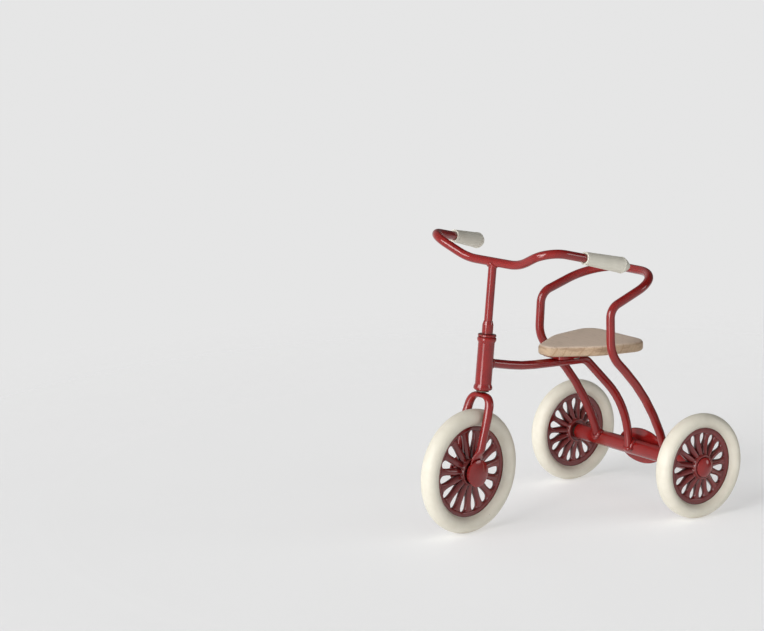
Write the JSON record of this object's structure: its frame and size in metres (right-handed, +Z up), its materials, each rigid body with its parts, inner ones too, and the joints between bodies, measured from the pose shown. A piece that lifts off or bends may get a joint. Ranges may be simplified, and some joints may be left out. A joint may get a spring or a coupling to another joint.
{
  "type": "children's tricycle",
  "caption": "Doll-size child's tricycle with a bent-rod frame, wooden seat, hoop backrest, turning handlebar and rubber-tyred wheels.",
  "frame": {"origin": "on the ground in the middle plane, straight below the rear axle", "axes": "+Z up, -Y towards the front wheel, +X towards the rider's left"},
  "size_m": [0.0683, 0.1017, 0.0887],
  "materials": {
    "red_enamel": "gloss",
    "rim_enamel": "satin",
    "cream_rubber": "matte",
    "grip_rubber": "matte",
    "beech": "satin",
    "bare_steel": "brushed"
  },
  "bodies": {
    "frame": {"axle_tube": "red_enamel", "backrest_hoop": "red_enamel", "head_tube": "red_enamel", "hub_cap_left": "red_enamel", "hub_cap_right": "red_enamel", "main_tube": "red_enamel", "rear_axle": "bare_steel", "rear_plate": "red_enamel", "rear_washer_left": "bare_steel", "rear_washer_right": "bare_steel", "seat": "beech", "seat_bracket": "red_enamel", "seat_screw_left": "bare_steel", "seat_screw_right": "bare_steel"},
    "steering_column": {"fork": "red_enamel", "stem": "red_enamel", "handlebar": "red_enamel", "lower_washer": "bare_steel", "top_washer": "bare_steel", "stem_collar": "red_enamel", "grip_left": "grip_rubber", "grip_right": "grip_rubber", "front_axle": "bare_steel", "front_spacer_left": "bare_steel", "front_spacer_right": "bare_steel", "front_cap_left": "red_enamel", "front_cap_right": "red_enamel"},
    "front_wheel": {"front_rim": "rim_enamel", "front_tyre": "cream_rubber"},
    "rear_wheel_left": {"rear_rim_left": "rim_enamel", "rear_tyre_left": "cream_rubber"},
    "rear_wheel_right": {"rear_rim_right": "rim_enamel", "rear_tyre_right": "cream_rubber"}
  },
  "joints": [
    {"name": "steering", "type": "hinge", "parent": "frame", "child": "steering_column", "pos_m": [0, -0.0611, 0.0432], "axis": [0, 0.0941, 0.9956], "continuous": true},
    {"name": "front_wheel_spin", "type": "hinge", "parent": "steering_column", "child": "front_wheel", "pos_m": [0.00039, -0.06658, 0.019], "axis": [0.9925, 0.1213, -0.0115], "continuous": true},
    {"name": "rear_left_spin", "type": "hinge", "parent": "frame", "child": "rear_wheel_left", "pos_m": [0.0295, 0, 0.0163], "axis": [1, 0, 0], "continuous": true},
    {"name": "rear_right_spin", "type": "hinge", "parent": "frame", "child": "rear_wheel_right", "pos_m": [-0.0295, 0, 0.0163], "axis": [1, 0, 0], "continuous": true}
  ]
}
